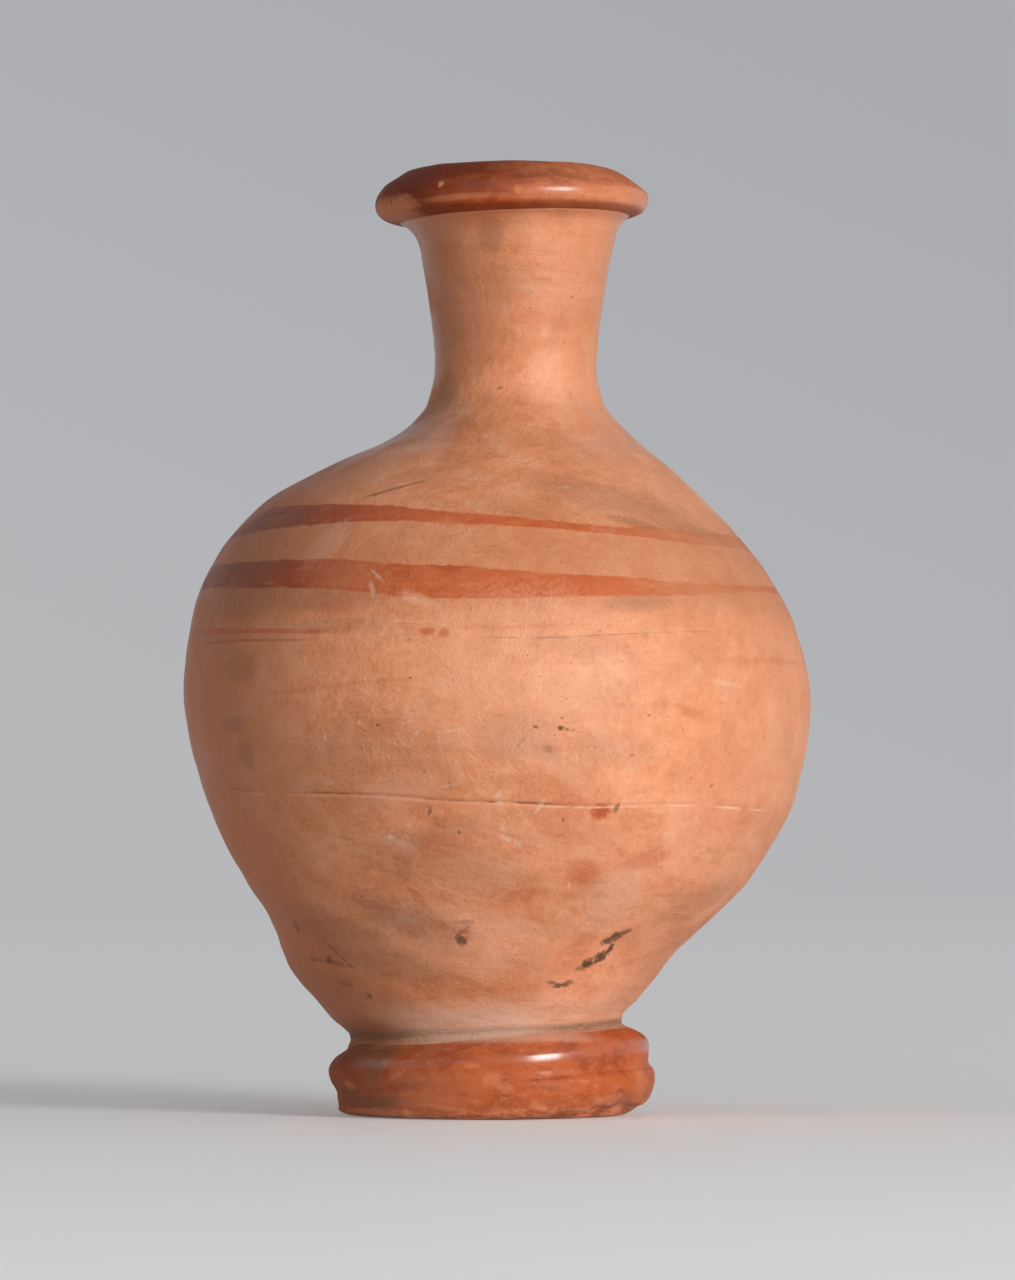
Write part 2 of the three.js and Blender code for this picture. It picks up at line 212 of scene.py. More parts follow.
# Marks by colour: x, y, half length and half width in pixels, anticlockwise turn in degrees, strength
CRUSTS = (
    (461, 940, 4.6, 4.6, 0, 0.75), (464, 931, 6, 2.6, 40, 0.4), (466, 922, 8, 2, 0, 0.3),
    (613, 938, 8, 4, 30, 0.85), (622, 933, 7, 2, 20, 0.7), (610, 949, 2.4, 5, 0, 0.85),
    (600, 957, 6.5, 4.4, 30, 0.9), (587, 964, 6, 4.2, 30, 0.9), (580, 968, 4, 1.8, 15, 0.5),
    (561, 985, 8, 2.2, 5, 0.8), (553, 983, 5.5, 1.6, -15, 0.6), (567, 983, 4.6, 1.8, 20, 0.6),
    (329, 960, 3, 3.6, 0, 0.6), (338, 964, 9, 2.2, -15, 0.3), (318, 960, 7, 2, -10, 0.3),
    (296, 927, 1.6, 5, 0, 0.35), (345, 984, 6, 2.4, -20, 0.3), (370, 996, 1.7, 2.4, 0, 0.5),
    (338, 954, 15, 1.1, -55, 0.35), (377, 494, 3.9, 1.2, 18, 0.5), (393, 489, 22.1, 1.3, 18, 0.5),
    (561, 728, 2.8, 2, 0, 0.8), (567, 729, 2, 1.5, 0, 0.6), (573, 730, 1.6, 1.2, 0, 0.5),
    (536, 727, 2.2, 1.2, 0, 0.6), (521, 742, 7.8, 1, 55, 0.25), (548, 749, 4, 3, -30, 0.3),
    (562, 718, 1.3, 0.9, 0, 0.6), (649, 715, 1.3, 1.2, 0, 0.5), (616, 808, 1.8, 3.6, -25, 0.6),
    (430, 811, 1.4, 4, -20, 0.55), (459, 832, 1.2, 1.4, 0, 0.6), (500, 388, 3.2, 1.2, 20, 0.45),
    (532, 293, 1.2, 1, 0, 0.4), (571, 297, 1.2, 1, 0, 0.4), (563, 820, 1.2, 1.8, 0, 0.6),
    (600, 631, 1.2, 1.1, 0, 0.6), (410, 678, 1.2, 0.9, 0, 0.6), (711, 786, 2.5, 1.2, 50, 0.4),
    (378, 725, 1.2, 1, 0, 0.7), (632, 755, 1.6, 1.2, 0, 0.4),
)
SMUDGES = (
    (238, 667, 12, 10, 0, 0.22), (234, 725, 9, 6, 0, 0.3), (246, 755, 6, 10, 0, 0.3),
    (240, 790, 9, 4, 0, 0.25), (370, 770, 60, 40, 0, 0.2), (640, 602, 24, 7, 5, 0.3),
    (612, 500, 55, 12, -12, 0.3), (636, 523, 18, 4, -14, 0.45), (692, 530, 30, 6, -12, 0.3),
    (340, 625, 30, 6, 0, 0.2), (515, 735, 28, 16, 20, 0.25), (545, 750, 12, 8, -20, 0.3),
    (491, 235, 9, 13, 0, 0.35), (508, 285, 20, 18, 0, 0.18), (445, 395, 10, 20, 0, 0.3),
    (440, 420, 22, 20, 20, 0.2), (430, 890, 40, 30, -30, 0.15), (520, 505, 40, 9, -4, 0.15),
    (250, 600, 30, 12, 0, 0.2), (330, 600, 34, 8, 0, 0.25), (700, 900, 24, 14, 40, 0.2),
    (445, 833, 26, 10, 10, 0.3), (365, 948, 60, 20, -22, 0.35), (345, 1000, 40, 24, -30, 0.2),
    (620, 750, 30, 12, -10, 0.15), (415, 925, 40, 18, -20, 0.45), (440, 862, 62, 22, -12, 0.32),
)
RUST = (
    (600, 812, 7, 6, 0, 1.0), (568, 806, 15, 13, 20, 0.25), (545, 835, 20, 12, 30, 0.2),
    (586, 836, 26, 7, 10, 0.2), (643, 860, 18, 7, 15, 0.5), (583, 872, 12, 9, 0, 0.35),
    (692, 713, 13, 4, -22, 0.35), (427, 631, 6, 3.4, 0, 0.7), (444, 633, 4, 4, -50, 0.7),
    (415, 893, 6, 2.5, -45, 0.5), (421, 902, 7, 2, -35, 0.4), (450, 845, 30, 9, 5, 0.25),
    (540, 320, 22, 8, -10, 0.2), (292, 512, 24, 6, 5, 0.3), (725, 790, 26, 30, 0, 0.15),
    (340, 607, 12, 8, 0, 0.25),
)
CHALKY = (
    (373, 708, 1, 2.6, 0, 0.5), (360, 723, 1.4, 1.8, 20, 0.6), (326, 738, 1.2, 2.4, 0, 0.5),
    (439, 740, 1, 2.4, 5, 0.4), (452, 731, 8, 1.2, 5, 0.35), (419, 731, 3, 1, 40, 0.3),
    (413, 720, 3, 1.4, -40, 0.3), (405, 745, 2.4, 1.2, -20, 0.3), (328, 541, 18, 10, 55, 0.2),
    (613, 900, 20, 22, 0, 0.3), (391, 837, 2.4, 1.5, -30, 0.5), (400, 845, 12, 5, -20, 0.2),
    (505, 838, 5, 1.6, -30, 0.5), (517, 843, 4, 1.4, -35, 0.5), (503, 830, 3, 1.2, -30, 0.4),
    (498, 795, 3, 2, 50, 0.45), (540, 806, 6, 1.6, 60, 0.45), (501, 803, 3, 1.4, -40, 0.5),
    (378, 576, 7, 1.2, -40, 0.4), (372, 590, 6, 1.8, -70, 0.35), (569, 886, 1.2, 4, 10, 0.4),
    (452, 785, 7, 1, 10, 0.3), (330, 783, 3, 2, 0, 0.3), (728, 684, 10, 2.4, -6, 0.3),
)
# Pale blooms; among them (535, 675) is a painted sheen on the belly and (545, 372) a painted highlight on the
# neck
BLOOMS_AND_SHEEN = (
    (655, 850, 30, 14, 35, 0.1), (495, 925, 40, 8, -14, 0.4), (480, 960, 50, 12, -10, 0.3),
    (560, 770, 30, 7, -35, 0.3), (535, 675, 75, 55, 0, 0.3), (530, 845, 60, 22, 8, 0.15),
    (545, 372, 10, 18, 0, 0.12), (420, 600, 16, 4, -20, 0.4), (540, 647, 3, 7, 0, 0.3),
    (400, 790, 30, 12, 10, 0.3),
)
FOOT_DIRT = (
    (380, 1058, 7, 14, 0, 0.6), (372, 1050, 14, 8, 20, 0.4), (366, 1101, 30, 4, 3, 0.55),
    (340, 1078, 14, 14, 0, 0.1), (350, 1092, 10, 5, 0, 0.4), (620, 1098, 12, 3, 12, 0.2),
    (352, 1043, 10, 5, -10, 0.4), (385, 1036, 14, 4, 0, 0.1),
)
FOOT_WORN = (
    (372, 1113, 30, 3, 2, 0.5), (407, 1114, 3, 3.5, 0, 0.9), (472, 1066, 5, 2, 0, 0.35),
    (492, 1079, 8, 5, 10, 0.45), (505, 1088, 7, 4, -20, 0.45), (545, 1073, 5, 1.6, 0, 0.6),
    (397, 1075, 6, 2, 30, 0.35), (446, 1108, 20, 2, -8, 0.4), (463, 1112, 4, 3, 0, 0.5),
    (538, 1107, 6, 3, -15, 0.4), (520, 1112, 5, 2.4, 0, 0.5), (577, 1110, 4, 2, 0, 0.5),
    (642, 1080, 6, 12, 0, 0.25), (585, 1082, 4, 1.6, 0, 0.3), (455, 1083, 34, 10, 0, 0.2),
    (430, 1100, 30, 6, 0, 0.2), (349, 1085, 4, 3, 0, 0.4), (385, 1062, 3, 3, 0, 0.3),
    (612, 1098, 10, 3, 10, 0.3), (560, 1090, 20, 3, 0, 0.15),
)
LIP_WORN = (
    (441, 184, 2.2, 2.4, 0, 0.9), (400, 206, 12, 8, 0, 0.7), (386, 212, 12, 9, 0, 0.7),
    (600, 196, 46, 14, 0, 0.4), (590, 176, 50, 10, -8, 0.25), (630, 202, 20, 14, 0, 0.6),
    (518, 189, 3, 4, 30, 0.4), (572, 170, 8, 4, 0, 0.3), (455, 197, 26, 2.4, 2, 0.4),
    (540, 196, 20, 3, 0, 0.3),
)
LIP_DEEP = (
    (430, 174, 38, 9, 8, 0.8), (440, 190, 48, 8, 4, 0.65), (408, 192, 14, 8, 0, 0.7),
    (520, 172, 30, 5, 0, 0.35),
)


def smooth_through(knots):
    """A smooth function through (place, value) knots that never overshoots them."""
    gaps = [b[0] - a[0] for a, b in zip(knots, knots[1:])]
    slopes = [(b[1] - a[1]) / gap for a, b, gap in zip(knots, knots[1:], gaps)]
    tangents = [slopes[0]]
    for i in range(1, len(slopes)):
        before, after = slopes[i - 1], slopes[i]
        if before * after <= 0:
            tangents.append(0.0)
            continue
        share_before = 2 * gaps[i] + gaps[i - 1]
        share_after = gaps[i] + 2 * gaps[i - 1]
        tangents.append((share_before + share_after) / (share_before / before + share_after / after))
    tangents.append(slopes[-1])

    def value(place):
        if place <= knots[0][0]:
            return knots[0][1]
        if place >= knots[-1][0]:
            return knots[-1][1]
        i = next(i for i, gap in enumerate(gaps) if place <= knots[i][0] + gap)
        t = (place - knots[i][0]) / gaps[i]
        u = 1 - t
        return (
            knots[i][1] * (1 + 2 * t) * u * u
            + knots[i + 1][1] * (3 - 2 * t) * t * t
            + gaps[i] * t * u * (tangents[i] * u - tangents[i + 1] * t)
        )

    return value


wall_radius = smooth_through(WALL_RADIUS)
nodding = smooth_through(NODDING)
wall_thickness = smooth_through(WALL_THICKNESS)
off_centre = smooth_through(OFF_CENTRE)
out_of_level = smooth_through(OUT_OF_LEVEL)


def inner_radius(height):
    """Radius of the inside of the wall, one thickness in, measured square to the outside."""
    nudge = 0.5
    slope = (wall_radius(height + nudge) - wall_radius(height - nudge)) / (2 * nudge)
    return wall_radius(height) - wall_thickness(height) * math.hypot(1, slope)


def even_steps(start, end, step):
    count = max(1, round(abs(end - start) / step))
    return [start + (end - start) * i / count for i in range(count + 1)]


def curve_points(points, per_span):
    """Points on a smooth curve that passes through the given ones."""
    found = []
    for i in range(len(points) - 1):
        a, b, c, d = (Vector(points[min(max(j, 0), len(points) - 1)]) for j in range(i - 1, i + 3))
        for step in range(per_span):
            t = step / per_span
            curve = (2 * a - 5 * b + 4 * c - d) * t**2 + (3 * b - a - 3 * c + d) * t**3
            found.append((2 * b + (c - a) * t + curve) / 2)
    return [*found, Vector(points[-1])]


def turned(outline, segments, closed):
    """Spins an outline of (radius, height) points, in millimetres, once round the axis."""
    shape = bmesh.new()
    points = [shape.verts.new((radius * MM, 0, height * MM)) for radius, height in outline]
    pairs = list(zip(points, points[1:]))
    if closed:
        pairs.append((points[-1], points[0]))
    edges = [shape.edges.new(pair) for pair in pairs]
    bmesh.ops.spin(
        shape, geom=points + edges, cent=(0, 0, 0), axis=(0, 0, 1), dvec=(0, 0, 0), angle=2 * math.pi,
        steps=segments, use_merge=True, use_duplicate=False,
    )
    bmesh.ops.remove_doubles(shape, verts=shape.verts, dist=0.001 * MM)
    bmesh.ops.recalc_face_normals(shape, faces=shape.faces)
    return shape


def set_by_hand(shape):
    """Puts a turned shape off centre and out of level, as the hand-thrown flask is."""
    for point in shape.verts:
        height = point.co.z / MM
        point.co.z += out_of_level(height) * point.co.x + nodding(height) * point.co.y
        point.co.x += off_centre(height) * MM
    shape.normal_update()


def angle_of(point):
    """Angle round the flask, 0 at the photographed front and growing to its right."""
    return math.atan2(point.x, -point.y)


def sight(x, y):
    """Direction in which the photograph's lens sees a pixel."""
    forward = Vector((0, math.cos(EYE_PITCH), math.sin(EYE_PITCH)))
    upward = Vector((0, -math.sin(EYE_PITCH), math.cos(EYE_PITCH)))
    across = Vector((1, 0, 0))
    way = forward * FOCAL_PIXELS + across * (x - PHOTO_WIDTH / 2) - upward * (y - PHOTO_HEIGHT / 2)
    return way.normalized()


class Skin:
    """The outside of a shape, to find the spots on it that pixels of the photograph show."""

    def __init__(self, shape):
        self.tree = BVHTree.FromBMesh(shape)

    def spot(self, x, y):
        """The point under a pixel, or the one nearest to its line of sight."""
        way = sight(x, y)
        point = self.tree.ray_cast(EYE, way)[0]
        if point is None:
            point = self.tree.find_nearest(EYE + way * (EYE_DISTANCE * MM))[0]
        return point

    def course(self, pixels):
        """(angle, height in mm) of each pixel, in order round the flask."""
        spots = [self.spot(x, y) for x, y in pixels]
        return sorted((angle_of(point), point.z / MM) for point in spots)


def round_course(course, shift=0.0):
    """Height at each angle of a course, closed behind the flask midway between its ends, but for a shift."""
    back = (course[0][1] + course[-1][1]) / 2 + shift
    return smooth_through([(-math.pi, back), *course, (math.pi, back)])


def window(value, low, high, soft):
    """1 between low and high, falling to 0 over a soft edge outside them."""
    inside = min((value - low) / soft, (high - value) / soft) + 1
    inside = min(max(inside, 0.0), 1.0)
    return inside * inside * (3 - 2 * inside)


def hump(distance, width):
    return math.exp(-((distance / width) ** 2))


# Shader maths


class Link:
    """An output socket of a shader's nodes. Sums and products of links add Math nodes."""

    def __init__(self, tree, socket):
        self.tree = tree
        self.socket = socket

    def node(self, kind, inputs, output=0, stops=None, **settings):
        """Adds a node: its settings first, then the values or links of its inputs."""
        made = self.tree.nodes.new(kind)
        for name, value in settings.items():
            setattr(made, name, value)
        if stops:
            ramp = made.color_ramp
            while len(ramp.elements) < len(stops):
                ramp.elements.new(0.5)
            for element, (place, colour) in zip(ramp.elements, stops):
                element.position = place
                element.color = colour
        for key, value in inputs.items():
            if isinstance(value, Link):
                self.tree.links.new(value.socket, made.inputs[key])
            else:
                made.inputs[key].default_value = value
        return Link(self.tree, made.outputs[output])

    def shown(self, output):
        """Makes this shader what its material or world shows."""
        made = self.tree.nodes.new(output)
        self.tree.links.new(self.socket, made.inputs["Surface"])

    def maths(self, operation, *values):
        return self.node("ShaderNodeMath", dict(enumerate(values)), operation=operation)

    def __add__(self, other):
        return self.maths("ADD", self, other)

    __radd__ = __add__

    def __sub__(self, other):
        return self.maths("SUBTRACT", self, other)

    def __rsub__(self, other):
        return self.maths("SUBTRACT", other, self)

    def __mul__(self, other):
        return self.maths("MULTIPLY", self, other)

    __rmul__ = __mul__

    def __truediv__(self, other):
        return self.maths("DIVIDE", self, other)

    def __pow__(self, other):
        return self.maths("POWER", self, other)

    def at_most(self, other):
        return self.maths("MINIMUM", self, other)

    def at_least(self, other):
        return self.maths("MAXIMUM", self, other)

    def size(self):
        return self.maths("ABSOLUTE", self)

    def rise(self, low, high, full=1.0):
        """0 below low and full above high, smooth between them. High may be the lower of the two."""
        return self.node(
            "ShaderNodeMapRange", {0: self, 1: low, 2: high, 3: 0.0, 4: full}, interpolation_type="SMOOTHSTEP"
        )

    def stretched(self, x, y, z, shift=(0, 0, 0)):
        return self.node("ShaderNodeMapping", {0: self, 1: shift, 3: (x, y, z)}, vector_type="POINT")

    def cloud(self, scale, detail, roughness, warp=0.0):
        """Cloudy noise from 0 to 1, with about so many clouds in a millimetre."""
        return self.node(
            "ShaderNodeTexNoise",
            {"Vector": self, "Scale": scale, "Detail": detail, "Roughness": roughness, "Distortion": warp},
        )

    def under(self, other, mask):
        """This colour, with another link or property's colour laid over it where the mask is 1."""
        laid = other if isinstance(other, Link) else (*linear(other), 1)
        return self.node("ShaderNodeMix", {0: mask, 6: self, 7: laid}, output=2, data_type="RGBA")


def linear(colour):
    """A colour picker's 0 to 1 screen colour, as the shader's light."""
    return tuple(c / 12.92 if c <= 0.04045 else ((c + 0.055) / 1.055) ** 2.4 for c in colour)


class Finish:
    """A new material, with its paint so far and the place on the surface in millimetres."""

    def __init__(self, name, base, skin=None):
        self.material = bpy.data.materials.new(name)
        self.material.use_nodes = True
        self.tree = self.material.node_tree
        self.tree.nodes.clear()
        self.skin = skin
        coordinates = self.tree.nodes.new("ShaderNodeTexCoord")
        raw = Link(self.tree, coordinates.outputs["Object"])
        self.place = raw.stretched(1 / MM, 1 / MM, 1 / MM)
        self.x, y, self.height = (
            self.place.node("ShaderNodeSeparateXYZ", {0: self.place}, output=i) for i in range(3)
        )
        self.angle = self.x.maths("ARCTAN2", self.x, y * -1)
        # The angle folded back towards 0 behind the flask, so that no mask ends in a step there
        folded = self.angle.maths("SINE", self.angle).at_most(0.9999).at_least(-0.9999)
        self.side = folded.maths("ARCSINE", folded)
        self.rag = self.place.cloud(2.2, 3.0, 0.65) - 0.5
        self.paint = self.colour(base)

    def colour(self, tone):
        """A plain colour as a link, to lay others over."""
        made = self.tree.nodes.new("ShaderNodeRGB")
        made.outputs[0].default_value = (*linear(tone), 1)
        return Link(self.tree, made.outputs[0])

    def lay(self, colour, mask):
        """Paints a colour over what is there, where the mask is 1."""
        self.paint = self.paint.under(colour, mask)

    def along(self, course):
        """Height in mm of a course round the flask, at each angle."""
        turns = [-1, *(front / 90 for front in range(-42, 43, 3)), 1]
        heights = [course(turn * math.pi) for turn in turns]
        low, high = min(heights) - 1, max(heights) + 1
        stops = []
        for turn, height in zip(turns, heights):
            shade = (height - low) / (high - low)
            stops.append(((turn + 1) / 2, (shade, shade, shade, 1)))
        ramp = self.place.node("ShaderNodeValToRGB", {0: self.angle / (2 * math.pi) + 0.5}, stops=stops)
        return ramp * (high - low) + low

    def line(self, pixels, width):
        """A line along the given pixels, fading out at its ends."""
        course = self.skin.course(pixels)
        start, end = course[0][0], course[-1][0]
        ends = self.angle.rise(start - LINE_FADE, start + LINE_FADE)
        ends = ends * self.angle.rise(end + LINE_FADE, end - LINE_FADE)
        return (self.height - self.along(round_course(course))).size().rise(width, width * 0.3) * ends

    def lines(self, table):
        """Several lines, each with its width in mm and its strength."""
        found = None
        for width, strength, *pixels in table:
            one = self.line(pixels, width) * strength
            found = one if found is None else found.at_least(one)
        return found

    def measured(self, angle, height, per_angle, per_height):
        """How far each place lies from one angle and height, along one direction of the surface."""
        start = -(angle * per_angle + height * per_height)
        risen = self.height.maths("MULTIPLY_ADD", self.height, per_height, start)
        return self.angle.maths("MULTIPLY_ADD", self.angle, per_angle, risen)

    def marks(self, table, ragged, soft):
        """Ragged oval spots of the sizes that the photograph shows, each with its strength."""
        torn = self.rag * (8 * ragged)
        found = None
        for x, y, length, width, turn, strength in table:
            centre = self.skin.spot(x, y)
            angle, height = angle_of(centre), centre.z / MM
            across = math.hypot(centre.x, centre.y) / MM * PIXELS_PER_MM
            across *= max(math.cos(angle), LEAST_SHORTENING)
            turned_by = math.radians(turn)
            cos, sin = math.cos(turned_by), math.sin(turned_by)
            long = self.measured(angle, height, across * cos / length, PIXELS_PER_MM * sin / length)
            wide = self.measured(angle, height, -across * sin / width, PIXELS_PER_MM * cos / width)
            spread = long.maths("MULTIPLY_ADD", long, long, torn)
            spread = wide.maths("MULTIPLY_ADD", wide, wide, spread)
            one = spread.rise((1 + soft) ** 2, (1 - soft) ** 2, strength)
            found = one if found is None else found.at_least(one)
        return found

    def finish(self, roughness, bump, specular, coat=0.0, coat_roughness=0.2, coat_ior=1.5):
        """Connects the surface. The bump is in millimetres of height."""
        relief = self.place.node("ShaderNodeBump", {"Strength": 1.0, "Distance": MM, "Height": bump})
        shader = self.place.node("ShaderNodeBsdfPrincipled", {
            "Base Color": self.paint, "Roughness": roughness, "Normal": relief,
            "Specular IOR Level": specular,
            "Coat Weight": coat, "Coat Roughness": coat_roughness, "Coat IOR": coat_ior,
        })
        shader.shown("ShaderNodeOutputMaterial")
        return self.material


# What a user would change


def picked(name, description, *default):
    """A colour property, its default given from 0 to 255."""
    tone = tuple(part / 255 for part in default)
    return FloatVectorProperty(name=name, description=description, subtype="COLOR", default=tone)


def measure(name, description, default):
    """A length property, its default given in millimetres."""
    return FloatProperty(name=name, description=description, unit="LENGTH", default=default * MM)


class FlaskSizes(bpy.types.PropertyGroup):
    segments: IntProperty(name="Segments", description="Faces round the wall", default=272, min=32)
    ridge_depth: measure("Throwing ridges", "How far the potter's finger ridges stand out", 0.05)
    dent_depth: measure("Dents", "How uneven the hand-shaped wall is", 0.15)
    groove_depth: measure("Groove depth", "Depth of the scored line round the belly", 0.14)
    groove_width: measure("Groove width", "Width of the scored line round the belly", 0.13)


class FlaskFinish(bpy.types.PropertyGroup):
    clay: picked("Clay", "Fired clay of the wall", 230, 149, 104)
    # Also painted sheen and highlights on the wall
    clay_pale_and_sheen: picked("Pale clay", "Rubbed and bloomed clay", 240, 178, 144)
    # Also painted shade towards both sides of the wall
    clay_brown_and_shade: picked("Brown clay", "Stained clay", 182, 113, 73)
    band: picked("Band slip", "Brushed bands on the shoulder", 224, 120, 70)
    # Also painted shade on the bands' left ends
    band_deep_and_shade: picked("Deep band slip", "Where the band's slip lies thick", 158, 58, 22)
    slip: picked("Red slip", "Slip of the lip and foot", 182, 89, 45)
    # Also painted shade over the lip's top and under its overhang
    slip_deep_and_shade: picked("Deep red slip", "Where the red slip lies thick or stained", 112, 42, 20)
    # Also painted shade, with real slip, just under the lip
    slip_worn_and_shade: picked("Worn slip", "Slip rubbed thin over the clay", 198, 118, 80)
    lime: picked("Lime", "Pale slip, lime and chalky nicks", 226, 188, 164)
    # Also part of the painted shade along the wall's left edge
    rust_and_shade: picked("Rust", "Reddish stains", 184, 80, 36)
    # Also painted shade in the turning line, the corner over the foot and the bands' left ends
    grime_and_shade: picked("Grime", "Grey-brown smudges", 116, 82, 60)
    # Also painted shade in the scored line and along the corner over the foot
    crust_and_shade: picked("Crust", "Dark crust", 68, 50, 38)


class StageSetup(bpy.types.PropertyGroup):
    floor: picked("Floor", "Colour of the table", 243, 243, 244)
    floor_lift: FloatProperty(
        name="Floor lift", description="Share of even white light on the table as the lens sees it",
        subtype="FACTOR", default=0.16, min=0, max=1,
    )
    floor_far: picked("Far floor", "Table beyond the flask", 250, 250, 251)
    horizon: picked("Horizon", "Backdrop near the table", 184, 184, 187)
    backdrop: picked("Backdrop", "Backdrop at the top", 170, 171, 175)
    key_power: FloatProperty(name="Key lamp", description="Main lamp's power in watts", default=7.3)
    fill_power: FloatProperty(name="Fill lamp", description="Weak left lamp's power in watts", default=0.7)
    ambient: FloatProperty(name="Ambient", description="Strength of the light from all round", default=0.18)


# Surfaces


def band_masks(finish, table, spread):
    """A painted band, wider behind by the spread, and the darker slip that pooled along its two edges."""
    wander = (finish.place.cloud(0.8, 4.0, 0.6) - 0.5) * 0.5
    top = round_course(finish.skin.course([(x, upper) for x, upper, _ in table]), spread / 2)
    bottom = round_course(finish.skin.course([(x, lower) for x, _, lower in table]), -spread / 2)
    below = finish.along(top) - finish.height + wander
    above = finish.height - finish.along(bottom) + wander
    inside = below.at_most(above)
    return inside.rise(-0.09, 0.13), inside.rise(0.7, 0.05)


def band_slip(finish, looks, edges):
    """Thin brushed slip, deeper and darker on the left partly as painted shade, orange in the middle and
    rubbed brown on the right.
    """
    side = finish.side
    brushed = finish.place.stretched(0.25, 0.25, 1.3, (5.0, 2.0, 1.0)).cloud(1.1, 4.0, 0.7)
    cloudy = finish.place.stretched(0.6, 0.6, 1, (9.0, 4.0, 6.0)).cloud(0.35, 4.0, 0.7)
    slip = finish.colour(looks.band).under(looks.band_deep_and_shade, cloudy.rise(0.5, 0.72) * 0.6)
    # Deeper and darker towards the left: partly darker slip, partly painted shade
    slip = slip.under(looks.band_deep_and_shade, side.rise(-0.2, -0.75) * 0.8)
    slip = slip.under(looks.band_deep_and_shade, edges * 0.45)
    slip = slip.under(looks.grime_and_shade, side.rise(-0.55, -1.0) * 0.5)
    slip = slip.under(looks.clay_brown_and_shade, side.rise(0.3, 0.75) * 0.5)
    return slip.under(looks.clay, brushed.rise(0.5, 0.75) * 0.3)


